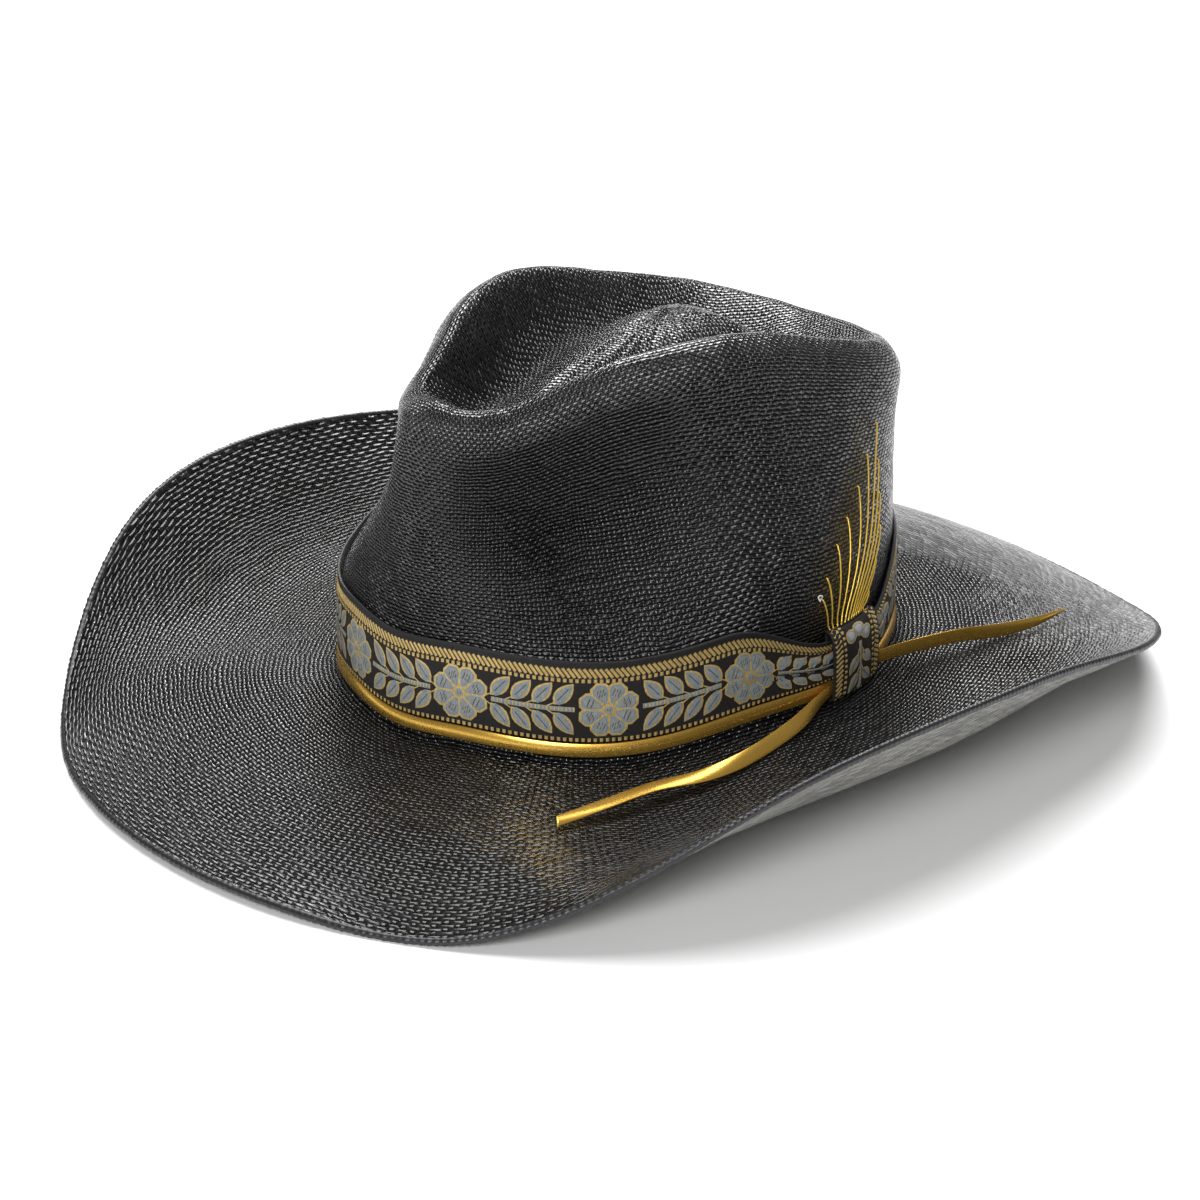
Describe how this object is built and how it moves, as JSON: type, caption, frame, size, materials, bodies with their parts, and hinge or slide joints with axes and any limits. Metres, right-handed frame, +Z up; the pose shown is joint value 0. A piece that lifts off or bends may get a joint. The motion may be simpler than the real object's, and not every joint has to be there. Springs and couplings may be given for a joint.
{
  "type": "straw hat",
  "caption": "Straw hat with pinched crown, curled brim, jacquard hatband, keeper loop, gold strip with hinged tails and a fan of gold threads.",
  "frame": {"origin": "middle of the bottom of the hat's box, on the plane that the brim stands on", "axes": "+Y from the front of the hat to its back, along its longest side; +X towards the wearer's left; +Z up, along its shortest side"},
  "size_m": [0.3348, 0.391, 0.1388],
  "materials": {
    "straw": "woven black paper straw, slightly glossy",
    "spring_wire": "drawn wire",
    "sweatband": "smooth leather",
    "reed_tape": "cloth tape over a reed",
    "bow_ribbon": "grosgrain ribbon",
    "jacquard": "jacquard ribbon in black, blue-grey and gold thread",
    "jacquard_keeper": "jacquard ribbon in black, blue-grey and gold thread",
    "gold_strip": "gold foil strip, satin",
    "gold_thread": "metallic thread",
    "thread_knot": "thread"
  },
  "bodies": {
    "hat": {"straw_body": "straw", "brim_wire": "spring_wire", "sweatband": "sweatband", "sweatband_reed": "reed_tape", "sweatband_bow": "bow_ribbon", "hatband": "jacquard", "keeper": "jacquard_keeper", "gold_strip_ring": "gold_strip", "gold_thread_01": "gold_thread", "gold_thread_02": "gold_thread", "gold_thread_03": "gold_thread", "gold_thread_04": "gold_thread", "gold_thread_05": "gold_thread", "gold_thread_06": "gold_thread", "gold_thread_07": "gold_thread", "gold_thread_08": "gold_thread", "gold_thread_09": "gold_thread", "gold_thread_10": "gold_thread", "gold_thread_11": "gold_thread", "gold_thread_12": "gold_thread", "thread_knot": "thread_knot"},
    "tail_front": {"gold_tail_front": "gold_strip"},
    "tail_rear": {"gold_tail_rear": "gold_strip"}
  },
  "joints": [
    {"name": "front_tail_lift", "type": "hinge", "parent": "hat", "child": "tail_front", "pos_m": [0.0902, 0.00832, 0.02355], "axis": [-1, 0, 0], "range_deg": [0, 35]},
    {"name": "rear_tail_lift", "type": "hinge", "parent": "hat", "child": "tail_rear", "pos_m": [0.086, 0.03542, 0.02406], "axis": [0.96, -0.28, 0], "range_deg": [0, 28]}
  ]
}
